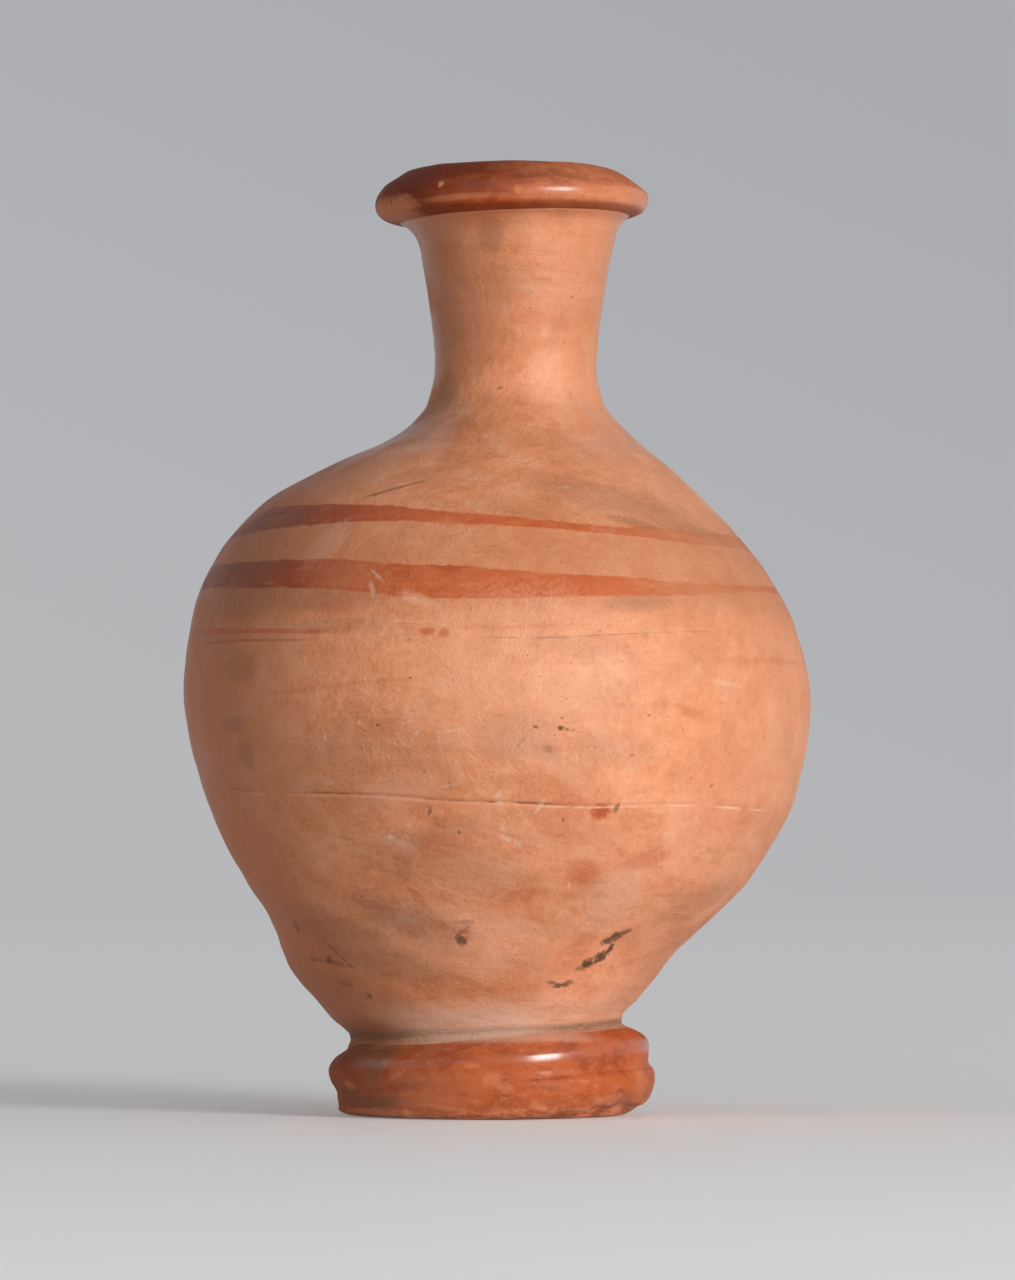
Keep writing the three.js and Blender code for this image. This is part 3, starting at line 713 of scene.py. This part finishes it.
def clay_surface(skin, looks):
    """The wall: smoothed clay with stains, scratches, crusts and the two painted bands, with painted shade,
    sheen and highlights.
    """
    finish = Finish("wall_clay", looks.clay, skin)
    place, height, side, lay = finish.place, finish.height, finish.side, finish.lay
    pale, brown, rust_and_shade = looks.clay_pale_and_sheen, looks.clay_brown_and_shade, looks.rust_and_shade
    broad = place.cloud(0.05, 3.0, 0.5, 0.4)
    mottle = place.cloud(0.16, 7.0, 0.84, 0.3)
    tint = place.stretched(1, 1, 1, (11.0, 7.0, 3.0)).cloud(0.22, 5.0, 0.78)
    wheel = place.stretched(0.07, 0.07, 1.6, (3.0, 1.0, 0.0)).cloud(0.8, 4.0, 0.66)
    slanted = place.node(
        "ShaderNodeMapping", {0: place, 2: (0, STROKE_SLANT, 0), 3: (3.0, 3.0, 1.0)}, vector_type="TEXTURE"
    )
    strokes = slanted.cloud(0.5, 5.0, 0.68, 0.5)
    specks = place.cloud(3.8, 1.0, 0.5)
    low_wall = height.rise(34.0, 27.0)

    # Uneven clay, browner towards both sides and on the neck; on the sides the browning is partly painted
    # shade
    tone = (mottle - 0.5) * 2.4 + (strokes - 0.5) * (0.5 + 1.1 * low_wall)
    tone += (wheel - 0.5) * (0.3 + 1.2 * height.rise(76.0, 82.0))
    lay(brown, (tone * -1.5).at_least(0.0))
    lay(pale, (tone * 1.5).at_least(0.0))
    lay(brown, broad.rise(0.44, 0.7) * 0.4)
    lay(pale, tint.rise(0.48, 0.7) * 0.45)
    lay(rust_and_shade, tint.rise(0.47, 0.3) * (0.16 + 0.24 * low_wall))
    # Browner and redder towards the left: partly the clay's fire-clouding, partly painted shade on the side
    # turned from the key lamp
    lay(brown, side.rise(-0.35, -1.2) * 0.78)
    lay(rust_and_shade, side.rise(-0.75, -1.2) * 0.2)
    # Painted shade browning the right edge, and a painted sheen paling the right side
    lay(brown, side.rise(0.35, 1.1) * 0.3)
    lay(pale, side.rise(0.1, 0.7) * 0.12)
    lay(brown, height.rise(46.5, 51.0) * height.rise(61.5, 54.5) * 0.48)
    lay(brown, height.rise(73.0, 78.0) * (0.34 + 0.36 * side.rise(0.4, -0.15)))
    lay(brown, height.rise(17.5, 15.5) * side.rise(0.4, 0.0) * 0.3)
    lay(looks.grime_and_shade, finish.marks(SMUDGES, 0.5, 0.85))
    lay(rust_and_shade, finish.marks(RUST, 0.6, 0.7))

    # The painted bands, chipped and rubbed
    upper, upper_edge = band_masks(finish, UPPER_BAND, 0.6)
    lower, lower_edge = band_masks(finish, LOWER_BAND, 1.0)
    slip = band_slip(finish, looks, upper_edge.at_least(lower_edge))
    chips = place.cloud(1.5, 4.0, 0.75).rise(0.5, 0.58) * finish.marks(CHIPPED, 0.5, 0.8)
    rubbed = finish.marks(RUBBED, 0.6, 0.9)
    lay(slip, upper.at_least(lower) * (1 - chips.at_least(rubbed)) * (0.86 + 0.12 * strokes))
    lay(looks.grime_and_shade, (upper_edge.at_least(lower_edge) * chips).rise(0.2, 0.8) * 0.3)

    # The scored line with painted shade in its groove and a painted highlight on its lower lip; the finer
    # lines
    scored = finish.line(SEAM_LINE, 0.13)
    broken = place.cloud(0.3, 3.0, 0.6).rise(0.36, 0.6)
    front = side.rise(-0.72, -0.5) * side.rise(0.28, 0.12)
    lay(looks.crust_and_shade, scored * broken * (0.1 + 0.5 * front))
    lower_lip_highlight = finish.line([(x, y + SEAM_HIGHLIGHT_DROP) for x, y in SEAM_LINE], 0.16)
    lay(pale, lower_lip_highlight * broken * (0.3 + 0.5 * side.rise(0.1, 0.3)))
    lay(rust_and_shade, finish.lines(BROWN_LINES) * (0.7 + 0.3 * broken))
    # Painted shade in the shallow groove of the turning line
    lay(looks.grime_and_shade, finish.line(TURNING_LINE, 0.11) * broken * 0.6)

    # Blooms with a painted sheen and highlight among them, chalky nicks, pits and crusts
    lay(pale, finish.marks(BLOOMS_AND_SHEEN, 0.7, 0.9).at_least(finish.lines(PALE_LINES) * broken))
    chalk = finish.marks(CHALKY, 0.7, 0.8)
    flecks = specks.rise(0.7, 0.76) * tint.rise(0.42, 0.6) * 0.55
    lay(looks.lime, chalk.at_least(flecks))
    pits = place.stretched(1, 1, 1, (7.0, 3.0, 5.0)).cloud(3.2, 1.0, 0.5).rise(0.75, 0.8)
    lay(looks.crust_and_shade, pits * 0.5)
    crusts = finish.marks(CRUSTS, 0.7, 0.6)
    lay(looks.crust_and_shade, crusts)

    # The corner over the foot with its painted shade, and slip that ran down under the lip, partly painted
    # shade
    dust = joint_dust(finish)
    joint_colours(finish, looks, dust)
    lay(looks.slip_worn_and_shade, height.rise(88.6, 89.3) * 0.5)

    burnish = place.cloud(0.2, 2.0, 0.5).rise(0.35, 0.6) * (0.35 + 0.65 * height.rise(60.0, 66.0))
    matt = crusts.at_least(dust)
    roughness = 0.44 + 0.5 * (mottle - 0.5) + 0.1 * low_wall - 0.08 * burnish + 0.3 * matt
    bump = mottle * (0.34 - 0.12 * low_wall) + strokes * (0.04 + 0.1 * low_wall) + wheel * 0.04 - pits * 0.06
    coat = burnish * (1 - matt) * (0.04 + 0.4 * height.rise(62.0, 68.0))
    return finish.finish(roughness, bump, 0.2, coat, coat_roughness=0.14)


def joint_level(finish):
    """Height in mm above the table, along the tilt of the corner over the foot."""
    return finish.height - finish.x * JOINT_TILT


def joint_dust(finish):
    """Where pale slip and lime lie in the corner over the foot, streaked and fading upwards."""
    streaks = finish.place.stretched(0.2, 0.2, 1.6, (1.0, 2.0, 3.0)).cloud(1.1, 5.0, 0.7)
    level = joint_level(finish) + finish.rag * 1.6 + (streaks - 0.5) * 5
    across = finish.side.rise(-1.0, -0.4) * (1 - 0.45 * finish.side.rise(0.1, 0.5))
    return level.rise(12.6, 9.8) * across * streaks.rise(0.2, 0.6)


def joint_colours(finish, looks, dust):
    """Pale lime over the foot, darker on the left, and painted shade along the bottom of the corner and in a
    soft grey line in it.
    """
    side, lay = finish.side, finish.lay
    left = side.rise(-0.35, -0.85)
    right = side.rise(0.2, 0.6)
    lay(looks.grime_and_shade, joint_level(finish).rise(11.4, 9.4) * left * 0.25)
    lay(looks.lime, dust * 0.9)
    # Painted shade along the bottom of the corner
    lay(looks.grime_and_shade, joint_level(finish).rise(9.6, 8.6) * 0.4)
    # Painted shade in a soft grey line with a darker core along the corner
    corner = finish.along(round_course(finish.skin.course(JOINT_LINE)))
    away = (finish.height - corner + finish.rag * 0.8).size()
    lay(looks.grime_and_shade, away.rise(0.6, 0.1) * (0.2 + 0.25 * right + 0.15 * left))
    lay(looks.crust_and_shade, away.rise(0.3 + 0.6 * left, 0.05) * (0.06 + 0.2 * left + 0.2 * right))


def joint_surface(skin, looks):
    """The slip smoothed into the corner, coloured as the wall's lower edge is."""
    finish = Finish("joint_lime", looks.clay, skin)
    finish.lay(looks.clay_brown_and_shade, finish.place.cloud(0.5, 4.0, 0.68) * 0.8)
    joint_colours(finish, looks, joint_dust(finish))
    relief = finish.place.cloud(1.4, 4.0, 0.65)
    return finish.finish(0.7 + 0.15 * relief, relief * 0.18, 0.25)


def foot_surface(skin, looks):
    """Worn glossy slip with dirt in the hollows and bare clay on the rubbed edges."""
    finish = Finish("foot_slip_finish", looks.slip, skin)
    place, height, side, lay = finish.place, finish.height, finish.side, finish.lay
    level = joint_level(finish)
    patches = place.stretched(1, 1, 1.6).cloud(0.3, 4.0, 0.64, 0.6)
    wear = place.stretched(0.8, 0.8, 1.6, (2.0, 5.0, 1.0)).cloud(0.75, 5.0, 0.74, 0.4)
    grain = place.cloud(2.8, 3.0, 0.7)
    specks = place.cloud(2.4, 2.0, 0.6).rise(0.66, 0.74)
    lay(looks.slip_deep_and_shade, patches.rise(0.44, 0.7) * 0.56)
    low = level.rise(5.4, 3.6)
    left = side.rise(-0.1, -0.55)
    rubbed = (wear.rise(0.5, 0.66) * (0.3 + 0.35 * low)).at_least(low * left * 0.3)
    lay(looks.slip_worn_and_shade, rubbed)
    lay(looks.grime_and_shade, left * patches.rise(0.58, 0.4) * 0.42)
    lay(looks.slip_deep_and_shade, side.rise(-0.6, -1.2) * 0.2)
    lay(looks.grime_and_shade, level.rise(2.6, 1.0) * 0.22)
    lay(looks.clay, specks * 0.3)
    edge = level.rise(1.5, 0.3) * wear.rise(0.4, 0.6)
    lay(looks.clay, edge * 0.6)
    lay(looks.grime_and_shade, finish.marks(FOOT_DIRT, 0.5, 0.8))
    lay(looks.clay, finish.marks(FOOT_WORN, 0.7, 0.9) * 0.8)
    crown = (height + finish.rag * 0.7).rise(7.3, 7.8)
    lay(looks.lime, crown * (0.1 + 0.34 * side.rise(-0.7, -0.2)) * side.rise(0.9, 0.5))
    matt = (rubbed * 0.7).at_least(crown).at_least(side.rise(-0.75, -1.1))
    roughness = 0.4 + 0.24 * matt + 0.1 * grain
    bump = grain * 0.03 + wear * 0.08 + patches * 0.06 - edge * 0.08 - specks * 0.02
    coat = (1 - matt) * level.rise(5.3, 5.9)
    return finish.finish(roughness, bump, 0.2, coat, coat_roughness=0.22, coat_ior=1.6)


def lip_surface(skin, looks):
    """Slip darker on the left of the lip, with painted shade over its top and under its overhang, bright in
    the middle, rubbed down to the clay on the right.
    """
    finish = Finish("lip_slip_finish", looks.slip, skin)
    place, height, side, lay = finish.place, finish.height, finish.side, finish.lay
    patches = place.stretched(1, 1, 1.8).cloud(0.34, 4.0, 0.64, 0.6)
    wear = place.stretched(0.7, 0.7, 2.0, (4.0, 1.0, 2.0)).cloud(0.7, 5.0, 0.72, 0.4)
    grain = place.cloud(2.8, 3.0, 0.7)
    lay(looks.slip_deep_and_shade, patches.rise(0.42, 0.64) * 0.5)
    lay(looks.slip_deep_and_shade, side.rise(0.0, -0.8) * 0.75)
    # Painted shade over the top of the lip
    lay(looks.slip_deep_and_shade, height.rise(91.6, 93.2) * side.rise(1.0, 0.0) * 0.75)
    rubbed = wear.rise(0.42, 0.62) * (0.2 + 0.45 * side.rise(0.05, 0.6))
    lay(looks.slip_worn_and_shade, rubbed)
    lay(looks.slip_deep_and_shade, finish.marks(LIP_DEEP, 0.4, 0.9))
    lay(looks.clay, finish.marks(LIP_WORN, 0.6, 0.8) * 0.8)
    # Deeper slip and painted shade under the lip's overhang
    under_lip_slip_and_shade = (height - finish.x * LIP_TILT).rise(90.1, 89.7) * side.rise(-0.95, -0.6)
    lay(looks.slip_deep_and_shade, under_lip_slip_and_shade * 0.5)
    roughness = 0.45 + 0.15 * rubbed + 0.12 * grain
    bump = grain * 0.025 + wear * 0.08 + patches * 0.08
    coat = height.rise(92.4, 91.6) * height.rise(90.0, 90.6) * side.rise(-0.5, 0.0)
    return finish.finish(roughness, bump, 0.1, coat, coat_roughness=0.28)


# Shapes


def seat(name, modelled, surface, slot, *nodes):
    """Makes a modelled shape and its surface a piece of the flask that stands for the named nodes."""
    shape, skin = modelled
    mesh = bpy.data.meshes.new(name)
    shape.to_mesh(mesh)
    shape.free()
    mesh.shade_smooth()
    mesh.materials.append(surface(skin, bpy.context.scene.flask_finish))
    piece = bpy.data.objects.new(name, mesh)
    bpy.context.scene.collection.objects.link(piece)
    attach(piece, "root")
    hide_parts(*nodes)
    return {"FINISHED"}


def unevenness(point, scale):
    return noise.noise(point.co / (scale * MM))


def wall_outline():
    """The whole wall: underside, outside, then the inside down to the floor."""
    outside = []
    last = None
    for height in even_steps(FOOT_TOP, LIP_JOINT, FINE_STEP):
        point = Vector((wall_radius(height), height))
        fine = abs(height - SEAM) < 0.9 or abs(height - TURNING) < 0.5
        step = FINE_STEP if fine else RING_STEP
        if last is None or (point - last).length > step or height == LIP_JOINT:
            outside.append(point)
            last = point
    inside = [Vector((inner_radius(height), height)) for height in even_steps(LIP_JOINT, CAVITY_CORNER, 1.4)]
    corner = curve_points([inside[-1], *CORNER_OUTLINE], 5)
    return [*UNDERSIDE, *outside, *inside, *corner[1:]]


def model_wall(sizes):
    """The thrown wall with its ridges, dents and scored lines."""
    shape = turned(wall_outline(), sizes.segments, closed=False)
    outer = [
        point for point in shape.verts
        if math.hypot(point.co.x, point.co.y) > (wall_radius(point.co.z / MM) - 0.5) * MM
        and point.co.z > (FOOT_TOP - 0.01) * MM
    ]
    set_by_hand(shape)
    skin = Skin(shape)
    seam_spots = skin.course(SEAM_LINE)
    turned_spots = skin.course(TURNING_LINE)
    seam = round_course(seam_spots)
    line = round_course(turned_spots)
    groove = sizes.groove_width / MM
    for point in outer:
        angle = angle_of(point.co)
        height = point.co.z / MM
        ridges = noise.noise(Vector((0.6 * math.sin(angle), 0.6 * math.cos(angle), height * 0.55)))
        winding = Vector((math.sin(angle), math.cos(angle), height * 0.9 + angle * 0.25))
        ridges += window(height, *NECK_RIDGES) * 1.3 * noise.noise(winding)
        smears = noise.noise(Vector((angle * 3.5, height * 0.5 + angle * 2.6, 4.0)))
        smears *= window(height, *LOW_SMEARS) * window(angle, *SMEARED_SIDE)
        ends = min(1.0, (height - FOOT_TOP) / 2, (LIP_JOINT + 0.3 - height) / 1.5)
        lift = ridges * sizes.ridge_depth + unevenness(point, 14) * sizes.dent_depth
        lift += (unevenness(point, 5) * 0.3 + smears * 0.5) * sizes.dent_depth
        lift *= max(ends, 0.0)
        shown = window(angle, seam_spots[1][0], seam_spots[-2][0], 0.3)
        shown *= 0.2 + 0.8 * window(angle, *SCORED_FRONT)
        lift -= shown * sizes.groove_depth * hump(height - seam(angle), groove)
        shown = window(angle, turned_spots[0][0], turned_spots[-1][0], 0.1)
        lift -= shown * 0.35 * sizes.groove_depth * hump(height - line(angle), groove)
        point.co += point.normal * lift
    return shape, skin


def foot_outline():
    outside = curve_points(FOOT_OUTLINE, 8)
    bore = [Vector((FOOT_BORE, height)) for height in even_steps(FOOT_SEAT, 0, 0.7)]
    rest = [Vector((radius, 0)) for radius in even_steps(FOOT_BORE, FOOT_OUTLINE[0][0], 0.5)]
    return [*outside, *bore, *rest[1:-1]]


def model_foot():
    """The moulded ring foot, uneven, its groove faint in front and its lower edge worn away on the right."""
    shape = turned(foot_outline(), RING_SEGMENTS, closed=True)
    for point in shape.verts:
        radius = math.hypot(point.co.x, point.co.y) / MM
        height = point.co.z / MM
        outside = min(max((radius - 12.6) / 1.6, 0.0), 1.0)
        low = max(0.0, 1 - height / 1.6)
        ragged = 1 + 0.5 * unevenness(point, 2.2)
        worn = window(angle_of(point.co), *FOOT_WORN_SIDE)
        point.co.z += outside * low * worn * EDGE_LIFT * ragged * MM
    set_by_hand(shape)
    for point in shape.verts:
        if math.hypot(point.co.x, point.co.y) < 13.0 * MM:
            continue
        height = point.co.z / MM
        dents = unevenness(point, 5) * 0.14 + unevenness(point, 1.6) * 0.05
        front = window(angle_of(point.co), *FOOT_FRONT)
        ends = min(1.0, (8.2 - height) / 1.2, height / 1.2)
        fill = FOOT_GROOVE_FILL * hump(height - FOOT_GROOVE, FOOT_GROOVE_WIDTH)
        lift = max(ends, 0.0) * dents * (1 - 0.6 * front) + front * fill
        point.co += point.normal * lift * MM
    return shape, Skin(shape)


def model_lip():
    """The rolled lip, its shoulder raised a little on the left."""
    outside = curve_points(LIP_OUTLINE, 7)
    inner = Vector((inner_radius(LIP_JOINT), LIP_JOINT))
    shape = turned([*outside, inner], RING_SEGMENTS, closed=True)
    set_by_hand(shape)
    for point in shape.verts:
        height = point.co.z / MM
        bulge = 0.35 * hump(height - 92.3, 0.9)
        point.co.z += window(angle_of(point.co), *LIP_SHOULDER) * bulge * MM
    for point in shape.verts:
        dents = unevenness(point, 5) * 0.12 + unevenness(point, 1.8) * 0.04
        ends = min(1.0, (point.co.z / MM - 89.9) / 0.8)
        point.co += point.normal * max(ends, 0.0) * dents * MM
    return shape, Skin(shape)


def model_joint():
    """The pale slip smoothed into the corner between the foot and the body."""
    front = [*JOINT_OUTLINE, (wall_radius(JOINT_TOP) + 0.02, JOINT_TOP)]
    back = [Vector((wall_radius(height) - 0.3, height)) for height in even_steps(JOINT_TOP, FOOT_TOP, 0.3)]
    shape = turned([*curve_points(front, 5), *back, Vector((13.0, 7.6))], RING_SEGMENTS, closed=True)
    set_by_hand(shape)
    return shape, Skin(shape)


# Operators


class FLASK_OT_stage(bpy.types.Operator):
    """Set the table, the backdrop, the lamps and the camera"""

    bl_idname = "flask.stage"
    bl_label = "Stage"

    def execute(self, context):
        setup = context.scene.flask_stage
        floor_mesh = bmesh.new()
        bmesh.ops.create_circle(floor_mesh, cap_ends=True, segments=96, radius=TABLE_RADIUS)
        mesh = bpy.data.meshes.new("table_top")
        floor_mesh.to_mesh(mesh)
        floor_mesh.free()
        floor = bpy.data.objects.new("table_top", mesh)
        floor.location.z = -TABLE_GAP * MM
        context.scene.collection.objects.link(floor)
        mesh.materials.append(self.table_surface(setup))
        self.light_world(context.scene, setup)
        self.lamp("key_lamp", setup.key_power, *KEY_LAMP)
        self.lamp("fill_lamp", setup.fill_power, *FILL_LAMP)
        self.camera(context.scene)
        context.scene.view_settings.view_transform = "Standard"
        return {"FINISHED"}

    def shown_rays(self, tree):
        """1 for rays that the lens sees straight, in a gloss or through glass."""
        rays = tree.nodes.new("ShaderNodeLightPath")
        straight = Link(tree, rays.outputs["Is Camera Ray"])
        mirrored = Link(tree, rays.outputs["Is Glossy Ray"])
        return straight.at_least(mirrored).at_least(Link(tree, rays.outputs["Is Transmission Ray"]))

    def table_surface(self, setup):
        """Pale and slightly glossy, turning into the backdrop far from the flask."""
        finish = Finish("table_finish", setup.horizon)
        place = finish.place
        away = place.node("ShaderNodeVectorMath", {0: place}, output="Value", operation="LENGTH") * MM
        surface = place.node("ShaderNodeBsdfPrincipled", {
            "Base Color": (*linear(setup.floor), 1), "Roughness": 0.6, "Specular IOR Level": 0.15,
        })
        lift = surface.node("ShaderNodeEmission", {"Color": (1, 1, 1, 1)})
        distance = away / (away + TABLE_FADE)
        finish.lay(setup.floor_far, (1 - distance) ** TABLE_FAR_POWER)
        glow = surface.node("ShaderNodeEmission", {"Color": finish.paint})
        lifted = self.shown_rays(finish.tree) * setup.floor_lift
        near = surface.node("ShaderNodeMixShader", {0: lifted, 1: surface, 2: lift})
        mixed = surface.node("ShaderNodeMixShader", {0: distance, 1: near, 2: glow})
        mixed.shown("ShaderNodeOutputMaterial")
        return finish.material

    def light_world(self, scene, setup):
        """Even light from all round, while the lens and reflections see the grey backdrop."""
        world = bpy.data.worlds.new("backdrop")
        scene.world = world
        world.use_nodes = True
        tree = world.node_tree
        tree.nodes.clear()
        coordinates = tree.nodes.new("ShaderNodeTexCoord")
        way = Link(tree, coordinates.outputs["Generated"])
        aside, climb = (way.node("ShaderNodeSeparateXYZ", {0: way}, output=i) for i in (0, 2))
        stops = [(0.0, (*linear(setup.horizon), 1)), (1.0, (*linear(setup.backdrop), 1))]
        sky = way.node("ShaderNodeValToRGB", {0: climb / BACKDROP_CLIMB + aside * BACKDROP_TILT}, stops=stops)
        shown = way.node("ShaderNodeBackground", {0: sky, 1: 1.0})
        light = way.node("ShaderNodeBackground", {0: (1, 1, 1, 1), 1: setup.ambient})
        mixed = way.node("ShaderNodeMixShader", {0: self.shown_rays(tree), 1: light, 2: shown})
        mixed.shown("ShaderNodeOutputWorld")

    def lamp(self, name, power, azimuth, elevation, distance, size):
        """An oblong soft lamp that faces the middle of the flask."""
        light = bpy.data.lights.new(name, "AREA")
        light.energy = power
        light.shape = "RECTANGLE"
        light.size, light.size_y = size
        lamp = bpy.data.objects.new(name, light)
        bpy.context.scene.collection.objects.link(lamp)
        side, up = math.radians(azimuth), math.radians(elevation)
        away = Vector((math.sin(side) * math.cos(up), -math.cos(side) * math.cos(up), math.sin(up)))
        middle = Vector((0, 0, cad_box[1].z / 2))
        lamp.location = middle + away * distance
        lamp.rotation_euler = away.to_track_quat("Z", "Y").to_euler()

    def camera(self, scene):
        """The lens of the photograph."""
        lens = bpy.data.cameras.new("photo_lens")
        lens.sensor_fit = "VERTICAL"
        lens.sensor_height = SENSOR
        lens.lens = SENSOR * FOCAL_PIXELS / PHOTO_HEIGHT
        lens.clip_end = 100
        camera = bpy.data.objects.new("photo_lens", lens)
        scene.collection.objects.link(camera)
        camera.location = EYE
        camera.rotation_euler = (math.pi / 2 + EYE_PITCH, 0, 0)
        scene.camera = camera


class FLASK_OT_wall(bpy.types.Operator):
    """Throw the body and neck and paint the shoulder bands"""

    bl_idname = "flask.wall"
    bl_label = "Wall"

    def execute(self, context):
        return seat(
            "thrown_wall", model_wall(context.scene.flask_sizes), clay_surface, "body_clay",
            "lower_body", "upper_body", "neck", "lower_shoulder_band", "upper_shoulder_band",
        )


class FLASK_OT_lip(bpy.types.Operator):
    """Roll the lip and coat it with slip"""

    bl_idname = "flask.lip"
    bl_label = "Lip"

    def execute(self, context):
        return seat("rolled_lip", model_lip(), lip_surface, "lip_slip", "mouth_lip", "lip_slip_coat")


class FLASK_OT_foot(bpy.types.Operator):
    """Turn the ring foot and coat it with slip"""

    bl_idname = "flask.foot"
    bl_label = "Foot"

    def execute(self, context):
        return seat("ring_foot", model_foot(), foot_surface, "foot_slip", "foot_ring", "foot_slip_coat")


class FLASK_OT_joint(bpy.types.Operator):
    """Smooth pale slip into the corner over the foot"""

    bl_idname = "flask.joint"
    bl_label = "Joint"

    def execute(self, context):
        return seat("foot_joint", model_joint(), joint_surface, "luting_slip", "foot_joint_fillet")


class FLASK_PT_panel(bpy.types.Panel):
    """Lists the flask's sizes, finish and pieces"""

    bl_idname = "FLASK_PT_panel"
    bl_label = "Unguentarium"
    bl_space_type = "VIEW_3D"
    bl_region_type = "UI"
    bl_category = "Unguentarium"

    def draw(self, context):
        for group in (context.scene.flask_sizes, context.scene.flask_finish, context.scene.flask_stage):
            box = self.layout.box()
            for name in group.__annotations__:
                box.prop(group, name)
        for operator in OPERATORS:
            self.layout.operator(operator.bl_idname)


OPERATORS = (FLASK_OT_stage, FLASK_OT_wall, FLASK_OT_lip, FLASK_OT_foot, FLASK_OT_joint)
GROUPS = {"flask_sizes": FlaskSizes, "flask_finish": FlaskFinish, "flask_stage": StageSetup}


def register():
    for name, group in GROUPS.items():
        bpy.utils.register_class(group)
        setattr(bpy.types.Scene, name, PointerProperty(type=group))
    for part in (*OPERATORS, FLASK_PT_panel):
        bpy.utils.register_class(part)


def unregister():
    for part in (FLASK_PT_panel, *reversed(OPERATORS)):
        bpy.utils.unregister_class(part)
    for name, group in GROUPS.items():
        delattr(bpy.types.Scene, name)
        bpy.utils.unregister_class(group)


def main():
    register()
    bpy.ops.flask.stage()
    bpy.ops.flask.wall()
    bpy.ops.flask.lip()
    bpy.ops.flask.foot()
    bpy.ops.flask.joint()


if __name__ == "__main__":
    main()
